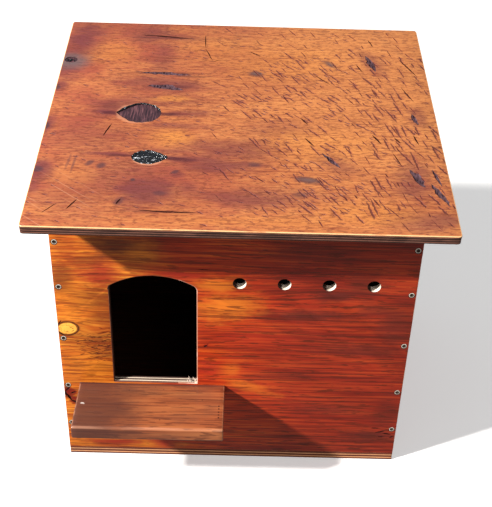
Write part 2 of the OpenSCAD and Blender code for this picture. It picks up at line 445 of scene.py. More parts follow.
    def bump(self, height, depth):
        return self.get("ShaderNodeBump", {"Height": height, "Distance": depth * MM, "Strength": 1.0})

    def finish(self, colour, rough, normal=None, metal=0.0, coat=0.0, coat_rough=0.2, specular=0.5, glow=0.0):
        inputs = {"Base Color": colour, "Roughness": rough, "Metallic": metal, "Coat Weight": coat,
                  "Coat Roughness": coat_rough, "Specular IOR Level": specular, "Normal": normal}
        if glow:
            inputs |= {"Emission Color": colour, "Emission Strength": glow}
        self.add("ShaderNodeOutputMaterial", {"Surface": self.get("ShaderNodeBsdfPrincipled", inputs)})
        return self.material


def flowing(m, knots):
    """Face coordinates whose grain lines bend around knots, each (x, y, length, width, push)."""
    x, y, z = m.split(m.p)
    bent = y
    for kx, ky, length, width, push in knots:
        dx = (x - kx) / length
        dy = (y - ky) / width
        near = m.calc("EXPONENT", (dx * dx + dy * dy) * -1.0)
        bent = bent + dy * near * -push
    return m.join(x, bent, z)


def figure(m, at, fibres, lines, pores):
    """A sliced veneer's look: broad drift, fibre, long thin dark lines and short dark pores."""
    drift = m.noise((170, 46, 120), 4, 0.55, 0.3, at=at)
    fibre = m.fade(m.noise((fibres, 3.0, 9), 3, 0.6, at=at), 0.3, 0.7)
    line = m.fade(m.noise((lines, 2.8, 30), 2, 0.6, 0.2, at=at), 0.57, 0.64)
    pore = m.fade(m.noise((pores, 2.6, 9), 2, 0.5, at=at), 0.58, 0.63)
    return drift * 0.62 + fibre * 0.38, fibre, line, pore


def add_checks(m, colour, x, y):
    """Short checks that run down to the right, dense on the right half. Gives the colour and their mask."""
    cloud = m.fade(m.noise((80, 60, 90), 3), 0.36, 0.62)
    inner = m.fade(y, -55, 5) * m.fade(y, 345, 300)
    right = m.fade(x, -70, 130) * inner * (cloud * 0.85 + 0.15)
    near_edge = m.fade(x, 110, 190)
    middle = right * (1.0 - near_edge)
    sets = (((27, 7.5), 28, 2.3, -52, middle * 0.75), ((14, 6.0), 12, 1.8, -38, middle * 0.45),
            ((35, 8.0), 36, 2.7, -68, right * near_edge * 0.95), ((12, 6.0), 9, 1.6, -20, 0.12))
    checks = []
    for cell, long, wide, turn, share in sets:
        check, halo = m.strokes(cell, long, wide, turn, share)
        colour = m.mix(halo * 0.4, colour, (0.25, 0.042, 0.034))
        checks.append(check)
    checks = m.most(*checks)
    return m.mix(checks * 0.78, colour, (0.085, 0.018, 0.020)), checks


def roof_face(name):
    """Orange-brown stained face of the roof, with purple stains, short checks and scratches."""
    m = Shade(name)
    x, y, _ = m.split(m.p)
    tone, fibre, line, pore = figure(m, flowing(m, ROOF_KNOTS), 22, 50, 9)
    colour = m.ramp(tone, (0.25, (0.31, 0.085, 0.034)), (0.5, (0.44, 0.140, 0.046)),
                    (0.75, (0.56, 0.210, 0.066)))
    red = m.fade(m.noise((120, 60, 90), 4, 0.6), 0.38, 0.64, 0.22, 0.8) * m.fade(x, 120, -110, 0.1, 1.0)
    colour = m.mix(red, colour, (0.28, 0.052, 0.034))
    bleached = m.fade(x, -60, 140, 0.0, 0.28) * m.fade(y, 10, 150, 0.15, 1.0)
    colour = m.mix(bleached, colour, (0.74, 0.30, 0.085))
    colour = m.tint(colour, ROOF_STAINS, (0.125, 0.026, 0.034), 0.75, 1.1, 22)
    colour = m.tint(colour, ROOF_YELLOWS, (0.60, 0.22, 0.045), 0.7, 0.9, 22)
    colour = m.mix(line * 0.4, colour, (0.20, 0.036, 0.016))
    dash = m.fade(m.noise((7.5, 2.3, 5), 2, 0.5), 0.57, 0.62)
    colour = m.mix(m.most(pore, dash) * 0.5, colour, (0.12, 0.024, 0.016))
    colour, checks = add_checks(m, colour, x, y)
    colour = m.tint(colour, ROOF_MARKS, (0.060, 0.026, 0.034), 0.5, 0.6, 5)
    colour = m.tint(colour, ROOF_GREYS, (0.12, 0.095, 0.10), 0.8, 0.5, 10)
    colour = m.tint(colour, ROOF_TAILS, (0.060, 0.010, 0.016), 0.5, 0.5, 5)
    colour = m.tint(colour, ROOF_RIMS, (0.62, 0.29, 0.17), 0.06, 0.15, 5)
    # thin pale scratches near the front left corner, where the stain is rubbed off
    worn = m.fade(m.noise((150, 1.8, 60), 1, 0.4, turn=-38), 0.66, 0.72)
    worn = worn * (m.fade(x, -140, -200) * m.fade(y, 60, 0))
    colour = m.mix(worn * 0.45, colour, (0.60, 0.30, 0.18))
    height = fibre * 0.5 + (pore + line) * -0.5 + checks * -2.2
    height = height + m.noise((60, 40, 40), 2) * 2.0
    gloss = m.fade(m.noise((80, 50, 50), 3), 0.35, 0.7, 0.40, 0.62)
    return m.finish(colour, gloss, m.bump(height, 0.2), coat=0.1, coat_rough=0.3, specular=0.3)


def wall_face(name, low, middle, high, knots=(), spots=None):
    """Red-brown stained face of a wall, its colour and its height. spots, for the doorway's wall, brings its
    yellow and orange zones and its patches."""
    m = Shade(name)
    tone, fibre, line, pore = figure(m, flowing(m, knots), 110, 190, 26)
    colour = m.ramp(tone, (0.25, low), (0.5, middle), (0.78, high))
    x, _, _ = m.split(m.p)
    strength = 0.62
    if spots:
        place = x + (m.noise((110, 50, 60), 4, 0.6) * 150 - 75)
        orange = m.ramp(tone, (0.25, (0.22, 0.016, 0.004)), (0.5, (0.44, 0.036, 0.007)),
                        (0.8, (0.66, 0.11, 0.014)))
        colour = m.mix(m.fade(place, 90, -10), colour, orange)
        yellow = m.ramp(tone, (0.22, (0.30, 0.034, 0.005)), (0.48, (0.63, 0.14, 0.014)),
                        (0.78, (0.92, 0.33, 0.036)))
        colour = m.mix(m.fade(place, -80, -150), colour, yellow)
        for shade, places in spots:
            colour = m.tint(colour, places, shade, 0.8, 1.2, 16)
        strength = m.fade(place, -150, 20, 0.45, 0.68)
    streak = m.fade(m.noise((260, 22, 60), 4, 0.6, at=flowing(m, knots)), 0.5, 0.7)
    colour = m.mix(streak * 0.22, colour, (0.11, 0.014, 0.008))
    colour = m.mix(line * strength, colour, (0.085, 0.012, 0.006))
    colour = m.mix(pore * strength, colour, (0.10, 0.015, 0.005))
    height = fibre * 0.6 + (pore + line) * -0.7 + m.noise((70, 40, 40), 2) * 2.0
    return m, colour, height


def close_wall(m, colour, height):
    gloss = m.fade(m.noise((90, 50, 50), 3), 0.35, 0.7, 0.3, 0.5)
    return m.finish(colour, gloss, m.bump(height, 0.14), coat=0.12, coat_rough=0.22, specular=0.22)


def front_face():
    """The doorway's wall: yellow-orange at its left with a pale knot, deep red-brown at its right."""
    m, colour, height = wall_face("front_face", (0.17, 0.012, 0.006), (0.32, 0.025, 0.008),
                                  (0.47, 0.056, 0.012), FRONT_KNOTS, FRONT_SPOTS)
    # short dark dashes in the swirl between the knot and the doorway
    swirl = m.blob(-172, 196, 30, 24, 0, 0.4, 0.5, 16)
    for turn in (14, -12):
        dash, _ = m.strokes((10, 3.6), 11, 1.5, turn, swirl * 0.8)
        colour = m.mix(dash * 0.85, colour, (0.085, 0.012, 0.006))
    # the left third's fine dark grain
    x, _, _ = m.split(m.p)
    fine = m.fade(m.noise((36, 2.3, 4), 3, 0.6), 0.53, 0.60) * m.fade(x, -90, -150)
    colour = m.mix(fine * 0.5, colour, (0.26, 0.036, 0.007))
    ring = m.blob(*KNOT, 15.2, 11.9, 4, 0.1, 0.12, 9)
    gap = m.blob(*KNOT, 13.0, 9.9, 4, 0.08, 0.12, 9)
    body = m.blob(*KNOT, 11.8, 8.8, 4, 0.08, 0.14, 9)
    colour = m.mix(ring, colour, (0.05, 0.010, 0.004))
    colour = m.mix(gap, colour, (0.62, 0.20, 0.02))
    colour = m.mix(m.calc("SUBTRACT", gap, body, clamp=True), colour, (0.14, 0.03, 0.006))
    grain = m.noise((5, 5, 5), 3, 0.6, 1.5)
    colour = m.mix(body, colour, m.ramp(grain, (0.34, (0.50, 0.14, 0.016)), (0.44, (1.0, 0.47, 0.07))))
    sores = ((-36.5, 198.7, 3.0, 2.6, 0.9, 20), (-34.5, 201.2, 2.2, 1.3, 0.8, 50), (-212, 99, 7, 7, 0.9),
             (-217, 113, 9, 8, 0.9))
    colour = m.tint(colour, sores, (0.20, 0.008, 0.004), 0.3, 0.7, 4)
    return close_wall(m, colour, height)


def scaled(colour, share):
    return tuple(min(1.0, c * share) for c in colour)


def ply_edge(name, long_grain, end_grain, glue, wear, plies=PLIES):
    """Cut edge of plywood: plies of long and end grain by turns, with dark glue lines between them."""
    m = Shade(name)
    _, _, z = m.split(m.p)
    place = z * (plies / PLY_T) + (m.noise((70, 70, 1000), 2) * 0.5 - 0.25)
    layer = m.calc("GREATER_THAN", m.calc("FRACT", place * 0.5), 0.5)
    streaks = m.noise((24, 24, 0.8), 4, 0.65)
    dots = m.noise((1.6, 1.6, 2.0), 3, 0.6)
    pale = m.mix(streaks, scaled(long_grain, 0.55), scaled(long_grain, 1.35))
    dark = m.mix(dots, scaled(end_grain, 0.5), scaled(end_grain, 1.5))
    colour = m.mix(layer, pale, dark)
    line = m.fade(abs(m.calc("FRACT", place) - 0.5), 0.34, 0.46)
    colour = m.mix(line * 0.9, colour, glue)
    dirt = m.fade(m.noise((35, 35, 12), 4, 0.6), 0.42, 0.62)
    colour = m.mix(dirt * wear, colour, glue)
    return m.finish(colour, 0.75, m.bump((streaks + dots) * 0.7 + line * -1.2, 0.3), specular=0.25)


def worn_arris(name, bare, stained, share):
    """Edge rubbed through its varnish to pale wood."""
    m = Shade(name)
    patch = m.fade(m.noise((30, 30, 6), 4, 0.6), share - 0.12, share + 0.12)
    fine = m.noise((5, 5, 0.8), 3)
    colour = m.mix(patch, bare, stained)
    colour = m.mix(fine * 0.35, colour, stained)
    return m.finish(colour, 0.5, m.bump(fine, 0.12), coat=0.2)


def vent_edge(name):
    """Wall of a vent hole: pale bare wood at its lower right, which faces the light, and near black elsewhere;
    the pale side is painted light and the dark side painted shade.
    """
    m = Shade(name)
    fibre = m.noise((6, 6, 1.4), 3, 0.6)
    inward = m.get("ShaderNodeTexCoord", output="Normal")
    side = (fibre - 0.5) * 0.8 + m.vector("DOT_PRODUCT", inward, (-0.80, 0.60, 0.0))
    bare = m.ramp(fibre, (0.3, (0.72, 0.56, 0.44)), (0.7, (1.0, 0.90, 0.78)))
    # pale where the wall faces up and left, towards the light: painted light; near black on the other sides:
    # painted shade
    colour = m.mix(m.fade(side, 0.15, 0.5), (0.045, 0.018, 0.012), bare)
    return m.finish(colour, 0.8, m.bump(fibre, 0.4), specular=0.2)


def torn_wood(name, low, high):
    """Wood inside a crack or a gouge."""
    m = Shade(name)
    fibre = m.noise((2.6, 7.0, 2.6), 4, 0.65)
    return m.finish(m.ramp(fibre, (0.35, low), (0.65, high)), 0.85, m.bump(fibre, 0.5), specular=0.06)


def inner_veneer(name):
    """Floor of the large opening: the next ply down, whose grain runs across the face's."""
    m = Shade(name)
    fibre = m.noise((1.9, 22, 4), 4, 0.7)
    broad = m.noise((9, 26, 9), 3)
    colour = m.ramp(fibre, (0.34, (0.016, 0.008, 0.013)), (0.5, (0.062, 0.026, 0.034)),
                    (0.66, (0.21, 0.085, 0.095)))
    colour = m.mix(broad * 0.5, colour, (0.016, 0.010, 0.018))
    return m.finish(colour, 0.6, m.bump(fibre, 0.6), specular=0.25)


def rim_varnish(name):
    """Thick dark varnish that has run into the openings' rims and hardened in beads."""
    m = Shade(name)
    beads = m.noise((4.5, 4.5, 3), 3, 0.6)
    colour = m.ramp(beads, (0.35, (0.010, 0.006, 0.006)), (0.7, (0.07, 0.03, 0.03)))
    return m.finish(colour, 0.22, m.bump(beads, 1.2), coat=0.6, coat_rough=0.12)


def black_filler(name):
    """Glossy black filler, lumpy, that catches small highlights, with small white specks painted in as
    highlights.
    """
    m = Shade(name)
    lumps = m.noise((4.6, 3.6, 3), 3, 0.6)
    colour = m.ramp(lumps, (0.3, (0.002, 0.003, 0.005)), (0.75, (0.014, 0.017, 0.023)))
    # small white specks: painted highlights
    painted_glints = m.fade(m.noise((4.2, 3.4, 4), 2, 0.5), 0.64, 0.68)
    colour = m.mix(painted_glints * 0.8, colour, (0.52, 0.55, 0.60))
    rough = m.fade(painted_glints, 0.0, 1.0, 0.2, 0.6)
    return m.finish(colour, rough, m.bump(lumps, 2.2), coat=0.3, coat_rough=0.1, specular=0.3)


def timber(name, half_width, half_depth):
    """Dark walnut-stained solid timber of the shelf."""
    m = Shade(name)
    drift = m.noise((260, 26, 40), 3, 0.5, 0.4)
    fibre = m.noise((150, 2.8, 5), 3, 0.6)
    colour = m.ramp(drift * 0.6 + fibre * 0.4, (0.36, (0.19, 0.045, 0.018)), (0.5, (0.30, 0.080, 0.029)),
                    (0.64, (0.43, 0.14, 0.048)))
    pores = m.fade(m.noise((30, 2.8, 4), 2), 0.57, 0.61)
    lines = m.fade(m.noise((180, 3.2, 6), 2, 0.6), 0.58, 0.62)
    grain = m.most(pores, lines)
    colour = m.mix(grain * 0.55, colour, (0.075, 0.018, 0.012))
    x, y, z = m.split(m.p)
    left = m.fade(x + (m.noise((40, 30, 30), 3) * 90 - 45), 10, -60)
    colour = m.mix(left * 0.85, colour, (0.080, 0.027, 0.020))
    patch = m.fade(m.noise((50, 26, 26), 3), 0.5, 0.66)
    colour = m.mix(patch * 0.25, colour, (0.12, 0.050, 0.032))
    # painted highlight: pale patchy bands along the nose and the ends' top arrises
    nose = m.fade(y, 4 - half_depth, 2.4 - half_depth) * m.fade(z, -3.4, -1.6)
    ends = m.fade(abs(x), half_width - 2.4, half_width - 0.8) * m.fade(z, -3, -1)
    arris_highlight = m.most(nose, ends) * m.fade(m.noise((60, 8, 8), 3), 0.35, 0.6, 0.05, 0.35)
    colour = m.mix(arris_highlight, colour, (0.62, 0.29, 0.17))
    # painted shade along the back edge, where the shelf meets the wall
    wall_shade = m.fade(y, half_depth - 3.4, half_depth - 1.2)
    colour = m.mix(wall_shade * 0.75, colour, (0.040, 0.012, 0.014))
    chips = m.strokes((9, 7), 2.6, 1.8, 70, 0.05)[0] * m.fade(z, -2, -0.5)
    colour = m.mix(chips * 0.85, colour, (0.025, 0.010, 0.008))
    paint = ((-87.5, 2.5, 2.2, 1.3, 0.7), (-85.5, 1.2, 1.4, 0.8, 0.5))
    colour = m.tint(colour, paint, (0.70, 0.64, 0.60), 0.4, 0.6, 3)
    pinholes = tuple((89.3, spot, 1.1, 1.3, 0.9) for spot in (-19, -14, -9, -3, 2))
    colour = m.tint(colour, pinholes, (0.03, 0.010, 0.008), 0.3, 0.2, 3)
    normal = m.bump(fibre + grain * -0.8, 0.14)
    return m.finish(colour, 0.45, normal, coat=0.3, coat_rough=0.14, specular=0.25)


def worn_steel(name, bright, dull, rough):
    """Zinc-plated steel, dulled by weather."""
    m = Shade(name)
    spots = m.noise((1.6, 1.6, 1.6), 4, 0.6)
    fine = m.noise((0.35, 0.35, 0.35), 3)
    colour = m.mix(m.fade(spots, 0.42, 0.68), bright, dull)
    roughness = m.fade(spots, 0.3, 0.7, rough - 0.1, rough + 0.15)
    return m.finish(colour, roughness, m.bump(fine + spots, 0.03), metal=0.4)


# ---------------------------------------------------------------- stage

def make_stage():
    m = Shade("floor_paper")
    colour = m.mix(m.noise((9, 9, 9), 3), (0.80, 0.80, 0.80), (0.84, 0.84, 0.84))
    paper = m.finish(colour, 0.9, specular=0.1, glow=0.42)
    mesh = bmesh.new()
    bmesh.ops.create_grid(mesh, x_segments=1, y_segments=1, size=9.0)
    floor = new_object("studio_floor", mesh, [paper])
    floor.location.z = cad_box[0][2] - 0.5 * MM
    floor.visible_diffuse = floor.visible_glossy = False
    world = bpy.data.worlds.new("studio")
    bpy.context.scene.world = world
    world.use_nodes = True
    nodes, links = world.node_tree.nodes, world.node_tree.links
    nodes["Background"].inputs["Color"].default_value = (1.0, 1.0, 1.0, 1.0)
    # white to the camera, dimmer as light
    level = nodes.new("ShaderNodeMapRange")
    level.inputs["To Min"].default_value = 0.3
    level.inputs["To Max"].default_value = 1.0
    links.new(nodes.new("ShaderNodeLightPath").outputs["Is Camera Ray"], level.inputs["Value"])
    links.new(level.outputs[0], nodes["Background"].inputs["Strength"])


def add_light(name, towards, distance, size, power, colour=(1, 1, 1)):
    """A square soft box that shines along a direction at the object; its lengths are in metres."""
    lamp = bpy.data.lights.new(name, "AREA")
    lamp.shape = "SQUARE"
    lamp.size = size
    lamp.energy = power
    lamp.color = colour
    light = bpy.data.objects.new(name, lamp)
    direction = Vector(towards).normalized()
    box_middle = Vector((0, 0, 0.25))
    light.location = box_middle - direction * distance
    light.rotation_euler = direction.to_track_quat("-Z", "Y").to_euler()
    bpy.context.scene.collection.objects.link(light)


def add_camera():
    """Looks down at the doorway's side at the photograph's angle."""
    yaw, pitch, roll = math.radians(0.68), math.radians(34.58), math.radians(1.80)
    long_side_px, focal_px = 507, 998.9
    forward = Vector((math.sin(yaw) * math.cos(pitch), math.cos(yaw) * math.cos(pitch), -math.sin(pitch)))
    level = Vector((math.cos(yaw), -math.sin(yaw), 0))
    raised = level.cross(forward)
    right = math.cos(roll) * level + math.sin(roll) * raised
    up = math.cos(roll) * raised - math.sin(roll) * level
    lens = bpy.data.cameras.new("camera")
    lens.sensor_width = 36
    lens.lens = focal_px / long_side_px * lens.sensor_width
    camera = bpy.data.objects.new("camera", lens)
    turned = Matrix((right, up, -forward)).transposed().to_4x4()
    spot_m = (-0.0001, -1.1773, 1.0293)
    camera.matrix_world = Matrix.Translation(spot_m) @ turned
    bpy.context.scene.collection.objects.link(camera)
    bpy.context.scene.camera = camera


# ---------------------------------------------------------------- marks on the faces

# Each mark is (x, y, half length, half width, strength) and maybe an angle. x is measured from the object's
# middle. y is the height above the ground on the front wall, and the distance up the slope on the roof.
KNOT = (-212.8, 222.5)
# (x, y, length, width, push) of the places that the grain flows around
FRONT_KNOTS = ((*KNOT, 40, 17, 12), (-176, 197, 26, 20, -16), (-150, 300, 50, 26, 10), (120, 275, 70, 22, 12),
               (20, 240, 90, 30, -10))
BROWN = (0.19, 0.045, 0.010)
YELLOW = (0.85, 0.26, 0.022)
CRIMSON = (0.36, 0.022, 0.012)
DARK = (0.075, 0.016, 0.012)
FRONT_SPOTS = (
    (BROWN, (
        (-172, 195, 27, 19, 0.45), (-165, 240, 22, 10, 0.6), (-180, 270, 30, 13, 0.65),
        (-214, 302, 12, 26, 0.75), (-186, 330, 26, 10, 0.6), (-170, 160, 20, 7, 0.4),
        (-113, 346, 24, 24, 0.35), (-195, 160, 20, 8, 0.4),
    )),
    (YELLOW, (
        (-12, 262, 36, 17, 0.55, 8), (-22, 298, 24, 10, 0.5), (-8, 160, 14, 9, 0.4),
        (-196, 216, 10, 60, 0.3), (-203, 262, 26, 30, 0.5), (-190, 150, 34, 30, 0.45),
        (-118, 342, 20, 14, 0.45), (-200, 20, 30, 8, 0.6), (-110, 20, 40, 5, 0.6),
        (20, 130, 30, 7, 0.3, -20),
    )),
    (CRIMSON, (
        (-168, 308, 24, 15, 0.85), (-72, 310, 34, 6, 0.7, -3), (-28, 160, 22, 16, 0.65),
        (-120, 320, 20, 8, 0.4), (-205, 345, 14, 22, 0.35), (-94, 22, 16, 8, 0.9), (15, 215, 46, 12, 0.4),
        (-165, 22, 30, 7, 0.9),
    )),
    (DARK, (
        (-150, 352, 24, 13, 0.75), (126, 284, 26, 8, 0.75), (96, 253, 44, 7, 0.7), (190, 45, 34, 9, 0.7),
        (165, 198, 54, 9, 0.55), (205, 240, 22, 34, 0.5), (160, 300, 20, 20, 0.5), (180, 262, 30, 8, 0.5),
        (130, 92, 40, 8, 0.45), (70, 150, 40, 6, 0.4), (210, 90, 16, 30, 0.35), (90, 352, 60, 16, 0.4),
        (185, 370, 50, 12, 0.4), (-163, 182, 15, 8, 0.4), (-176, 203, 12, 4, 0.35),
        (-222, 118, 5, 10, 0.8),
    )),
)

# the lens-shaped openings in the roof's face ply and its black knot: (x, y, length, width)
LARGE = (-130.0, 170.5, 58.0, 43.0)
SMALL = (-108.5, 76.5, 45.0, 26.5)
BLACK_KNOT = (-234.0, 294.0, 17.0, 14.0)
ROOF_KNOTS = ((*LARGE[:2], 60, 34, 22), (*SMALL[:2], 50, 24, 15), (-235, 293, 34, 16, 9),
              (-100, 248, 60, 20, 8), (-84, 116, 26, 26, -12))
ROOF_STAINS = (
    (-160, 182, 40, 22, 0.6), (-112, 10, 34, 24, 0.8), (-236, 285, 22, 34, 0.8),
    (-105, 240, 52, 16, 0.7, -5), (-132, 366, 26, 20, 0.6), (-90, 360, 50, 8, 0.5, -6),
    (-238, 46, 16, 22, 0.85), (-222, 345, 26, 40, 0.85), (-108, 306, 16, 44, 0.4),
    (234, -30, 24, 12, 0.6), (-64, 73, 18, 8, 0.8), (-60, 172, 26, 7, 0.6), (-242, 139, 9, 16, 0.8),
    (-240, 229, 9, 10, 0.7), (-241, 18, 10, 14, 0.6), (-59, 21, 14, 9, 0.6, 20), (-73, 44, 8, 6, 0.6),
    (-28, 65, 46, 14, 0.7), (3, 2, 60, 14, 0.65), (-10, 96, 60, 20, 0.6), (-84, 144, 34, 6, 0.5),
    (-84, 90, 34, 5, 0.5), (-158, 82, 36, 4, 0.8), (-66, 74, 24, 3, 0.8, -12), (-176, 172, 16, 4, 0.9),
    (-74, 170, 18, 4, 0.8), (212, 45, 20, 40, 0.6), (215, -35, 34, 16, 0.6),
    (117, 75, 26, 16, 0.5, -50), (230, 175, 10, 22, 0.5), (182, 305, 12, 30, 0.5, 20),
    (-140, 40, 60, 40, 0.35), (50, 141, 50, 16, 0.3), (-100, 200, 60, 14, 0.4), (60, 10, 50, 16, 0.3),
    (-190, 110, 50, 40, 0.3), (-200, 10, 50, 40, 0.3),
)
ROOF_YELLOWS = (
    (-84, 118, 22, 15, 0.7), (-90, 205, 24, 6, 0.6), (-180, 320, 30, 30, 0.4),
    (-40, 330, 40, 30, 0.35), (-200, 30, 26, 26, 0.2), (20, -40, 90, 10, 0.3),
    (100, 110, 60, 30, 0.35), (60, 300, 80, 40, 0.3), (150, -20, 50, 20, 0.4),
)
ROOF_MARKS = (
    (20.8, 270, 10, 7, 0.75, -10), (83, 39, 15, 6, 0.8, -12), (-165, 58, 6, 4.5, 0.75, 40),
    (-180, 62.5, 6, 3.6, 0.7, 48), (-243, 225, 4, 5, 0.8), (-244, 137, 4, 7, 0.85),
    (-241, 48, 8, 5, 0.8), (-125, 32, 3, 2.4, 0.85), (-92, 8, 7, 4, 0.5), (-138, -9, 5, 7, 0.6, -30),
    (123, 299, 12, 5, 0.6, -50), (20, 67, 8, 5, 0.6), (73, 11, 9, 5, 0.5),
    (-199, 60, 1.6, 16, 0.5, -4), (-206, 64, 1.6, 14, 0.45, -6), (-76, 49, 5, 3, 0.7, 30),
)
ROOF_GREYS = (
    (-233, 291, 21, 17, 0.75), (83, 40, 9, 3, 0.35, -12), (21, 270, 6, 3, 0.35, -10),
    (123, 299, 7, 3, 0.3, -50),
)
ROOF_TAILS = (
    (-165, 169, 12, 3.6, 0.8), (-94, 169, 13, 3.6, 0.75), (-144, 79, 18, 2.4, 0.75),
    (-78, 75, 14, 3, 0.8), (-64, 72, 12, 4, 0.5), (-100, 266, 44, 2.8, 0.6), (-64, 259, 22, 2.6, 0.5),
    (-94, 233, 30, 4, 0.55), (-107, 358, 42, 2.4, 0.5), (-82, -26, 38, 2.2, 0.5),
    (-168, 186, 12, 9, 0.3),
)
ROOF_RIMS = ((LARGE[0] - 1, LARGE[1] - 1.8, LARGE[2] / 2 - 1, LARGE[3] / 2 + 0.4, 0.4),
             (SMALL[0] - 2, SMALL[1] - 2.2, SMALL[2] / 2 - 3, SMALL[3] / 2 + 0.4, 0.6))

# Each cut is (x, y, length, angle, width, depth) and maybe how far it bows.
BIG_GOUGES = (
    (179.9, 304, 42, -73, 7.0, 1.2), (215, 48, 38, -68, 8.0, 1.3), (239, 18, 44, -66, 6.0, 1.3),
    (226, 171, 26, -76, 5.0, 1.2), (113, 79.5, 38, -55, 4.6, 1.2), (239, 50, 34, -76, 3.2, 1.0),
)
LONG_CRACKS = (
    (230.7, 295, 50, -64, 1.6, 0.8), (222.6, 126, 22, -78, 1.4, 0.8), (173, 125, 22, -62, 1.8, 0.9),
    (199, 124, 14, -59, 1.8, 0.8), (82.7, 161, 18, -57, 1.6, 0.8), (88, 116, 22, -57, 1.7, 0.8),
    (223, 228, 40, -69, 1.1, 0.6), (195, 84, 28, -72, 1.2, 0.6), (184, 358, 20, -72, 1.3, 0.7),
    (163, 291, 20, -68, 1.4, 0.7), (110, 260, 36, -48, 1.2, 0.7), (20, 321, 20, -36, 1.6, 0.7),
    (-166, 132, 30, 73, 1.4, 0.7), (-191, -16, 22, 61, 1.5, 0.7), (-216, -24, 24, 50, 0.9, 0.5),
    (-138, -9, 12, 66, 1.8, 0.8), (-51, 352, 34, -88, 1.0, 0.8), (-45, 317, 34, -71, 1.0, 0.8),
    (-34, 301, 11, 31, 0.9, 0.6),
)
STREAKS = (
    (-100, 263.5, 70, -4, 5.0, 1.2, 1.5), (-100, 229, 50, -11, 8.5, 1.1, 4.0),
    (-107, 361, 76, -6, 2.6, 0.9, 1.0), (-82, -24.5, 70, -2, 2.0, 0.8, -1.0),
)
# in the front wall's two knots, in the swirl and at the lower right
FRONT_CRACKS = (
    (-220, 119, 12, 50, 3.0, 1.2), (-219, 105, 15, -62, 3.4, 1.4), (-212, 97, 12, -20, 3.0, 1.2),
    (-223, 111, 10, 100, 2.6, 1.2), (-213, 113, 10, 25, 2.4, 1.0), (-209, 92, 9, -40, 2.4, 1.0),
    (-208, 224, 6, -30, 0.9, 0.4), (-206, 219, 5, 40, 0.9, 0.4), (-213, 217, 5, -10, 0.8, 0.4),
    (203, 53, 15, 14, 2.8, 1.2), (213, 49.5, 13, -10, 2.6, 1.2), (196, 60, 11, -2, 2.0, 0.8),
    (220, 44, 7, 40, 2.6, 1.0), (206, 44, 10, 2, 1.8, 0.8), (-171, 196, 13, 12, 1.4, 0.6),
    (-180, 191, 12, -15, 1.4, 0.6), (-166, 204, 12, 24, 1.3, 0.6), (-184, 203, 11, -20, 1.3, 0.6),
    (-163, 188, 11, 5, 1.4, 0.6), (-176, 183, 12, -12, 1.3, 0.5), (-165, 178, 14, 8, 1.4, 0.5),
    (-174, 209, 14, -6, 1.2, 0.5), (-161, 195, 8, 30, 1.3, 0.5), (-36.5, 198.7, 5, 20, 3.0, 0.9),
    (-222, 232, 9, 60, 1.6, 0.6), (-220, 213, 10, -50, 1.6, 0.6), (-40, 320, 16, -2, 1.0, 0.4),
)


# ---------------------------------------------------------------- the box

EDGE = ply_edge("stained_ply_edge", (0.30, 0.125, 0.085), (0.055, 0.022, 0.015), (0.014, 0.006, 0.005), 0.55)
VENT_EDGE_LIGHT_AND_SHADE = vent_edge("vent_edge")
# a dark copy of the doorway's arris, for its left side and its top: painted shade
SHADED_DOOR_ARRIS = worn_arris("doorway_dark_arris", (0.46, 0.17, 0.08), (0.16, 0.04, 0.02), 0.4)
RAW_EDGE = ply_edge("raw_ply_edge", (0.86, 0.62, 0.48), (0.09, 0.05, 0.04), (0.03, 0.015, 0.012), 0.12, 5)
FLOOR_EDGE = ply_edge("floor_ply_edge", (0.86, 0.36, 0.17), (0.16, 0.035, 0.018), (0.05, 0.012, 0.008),
                      0.12, 5)
# a dark copy of the raw ply edge for the doorway's jambs and head: painted shade
SHADED_JAMB = ply_edge("jamb_ply_edge", (0.14, 0.06, 0.035), (0.06, 0.025, 0.015), (0.02, 0.010, 0.008), 0.6)
# the doorway's pale arris, for its right side: worn bare wood and also a painted highlight
WORN_LIT_DOOR_ARRIS = worn_arris("doorway_arris", (0.95, 0.62, 0.50), (0.50, 0.22, 0.14), 0.40)
ARRIS = worn_arris("worn_arris", (0.98, 0.56, 0.26), (0.45, 0.13, 0.035), 0.62)
WALL_ARRIS = worn_arris("wall_arris", (0.75, 0.42, 0.22), (0.34, 0.07, 0.02), 0.42)
CRACK = torn_wood("crack_wood", (0.012, 0.004, 0.004), (0.06, 0.014, 0.010))
CHECK = torn_wood("check_wood", (0.045, 0.011, 0.012), (0.17, 0.045, 0.036))
GOUGE = torn_wood("gouge_wood", (0.012, 0.006, 0.010), (0.13, 0.07, 0.085))
ZINC = worn_steel("zinc_plate", (1.0, 0.93, 0.82), (0.75, 0.60, 0.46), 0.55)
# dark colour for the screw heads' dished middle and cross recess
SCREW_DARK = worn_steel("screw_dark", (0.10, 0.07, 0.05), (0.03, 0.02, 0.015), 0.6)
STEEL = worn_steel("hinge_steel", (0.66, 0.66, 0.65), (0.32, 0.31, 0.30), 0.38)
FRONT_FACE = front_face()
WALL_FACE = close_wall(*wall_face("wall_face", (0.17, 0.02, 0.007), (0.38, 0.06, 0.016), (0.60, 0.15, 0.035),
                                  ((60, 210, 60, 22, 12), (-90, 330, 40, 16, 8))))
# inside faces: near black, painted shade for the dark inside of the closed box
INSIDE_PAINTED_SHADE = close_wall(*wall_face("inner_face", (0.02, 0.008, 0.005), (0.04, 0.014, 0.008), (0.07, 0.022, 0.012)))

# Openings with an outline longer than this are vents or the doorway; the others are screw holes.
VENT_LENGTH = 30
DOOR_LENGTH = 200
SCREW_MESHES = {}
SQUARE = ((-0.5, -0.5), (0.5, -0.5), (0.5, 0.5), (-0.5, 0.5))
# (height, radius) of a screw's countersunk hole
COUNTERSINK = ((-PLY_T - 1, 1.85), (-2.25, 1.85), (-0.62, 3.6), (-0.3, 3.7), (0.02, 4.25), (1.0, 4.3))


